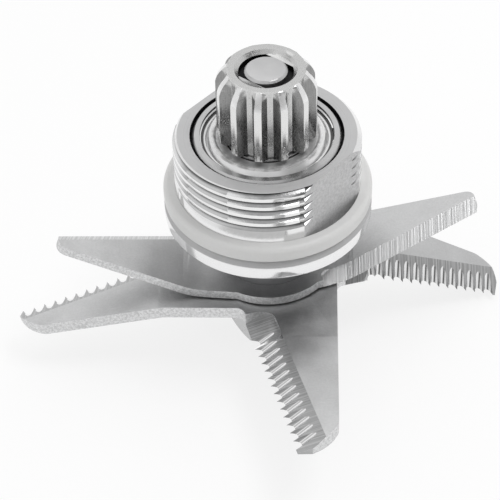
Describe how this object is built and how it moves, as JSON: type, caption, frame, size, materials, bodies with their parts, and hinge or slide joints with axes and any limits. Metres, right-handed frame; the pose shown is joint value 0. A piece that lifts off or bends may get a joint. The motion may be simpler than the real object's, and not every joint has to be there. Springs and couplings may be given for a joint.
{
  "type": "blender blade assembly",
  "caption": "Blender blade assembly: threaded bearing housing with flats and gasket, splined drive spindle, stacked bent cutting wings with serrated edges, capped by a nut.",
  "frame": {"origin": "on the spindle's axis at the flange's upper face, where the gasket sits", "axes": "+Z along the spindle to the drive end; +X along the most sharply bent serrated wing, at the right in the picture; -Y towards the camera"},
  "size_m": [0.0901, 0.0926, 0.0604],
  "materials": {
    "housing_steel": "polished, with blasted flats",
    "gasket_silicone": "smooth, slightly translucent white",
    "ring_steel": "ground",
    "ball_steel": "polished",
    "shield_steel": "bright stamped sheet",
    "wire_steel": "drawn wire",
    "cage_plastic": "moulded",
    "seal_steel": "pressed sheet",
    "seal_rubber": "matt black",
    "spindle_steel": "satin",
    "spline_steel": "sintered, bright on the crests",
    "collar_steel": "dark turned",
    "blade_steel": "satin, ground bevels",
    "fastener_steel": "turned"
  },
  "bodies": {
    "housing_unit": {"housing": "housing_steel", "gasket": "gasket_silicone", "seal_case": "seal_steel", "seal_lip": "seal_rubber", "garter_spring": "wire_steel", "upper_outer_ring": "ring_steel", "upper_top_shield": "shield_steel", "upper_bottom_shield": "shield_steel", "upper_top_snap_wire": "wire_steel", "upper_bottom_snap_wire": "wire_steel", "lower_outer_ring": "ring_steel", "lower_top_shield": "shield_steel", "lower_bottom_shield": "shield_steel", "lower_top_snap_wire": "wire_steel", "lower_bottom_snap_wire": "wire_steel"},
    "spindle_unit": {"spindle": "spindle_steel", "drive_spline": "spline_steel", "inner_spacer": "spindle_steel", "upper_inner_ring": "ring_steel", "lower_inner_ring": "ring_steel", "blade_collar": "collar_steel", "two_wing_blade": "blade_steel", "blade_spacer": "fastener_steel", "four_wing_blade": "blade_steel", "nut_washer": "fastener_steel", "cap_nut": "fastener_steel"},
    "upper_cage_unit": {"upper_cage": "cage_plastic", "upper_balls": "ball_steel"},
    "lower_cage_unit": {"lower_cage": "cage_plastic", "lower_balls": "ball_steel"}
  },
  "joints": [
    {"name": "spindle_spin", "type": "hinge", "parent": "housing_unit", "child": "spindle_unit", "pos_m": [0, 0, 0], "axis": [0, 0, 1], "continuous": true},
    {"name": "upper_cage_spin", "type": "hinge", "parent": "housing_unit", "child": "upper_cage_unit", "pos_m": [0, 0, 0.00975], "axis": [0, 0, 1], "continuous": true},
    {"name": "lower_cage_spin", "type": "hinge", "parent": "housing_unit", "child": "lower_cage_unit", "pos_m": [0, 0, 0.00025], "axis": [0, 0, 1], "continuous": true}
  ],
  "couplings": [
    {"joint": "upper_cage_spin", "follows": "spindle_spin", "ratio": 0.36698},
    {"joint": "lower_cage_spin", "follows": "spindle_spin", "ratio": 0.36698}
  ]
}
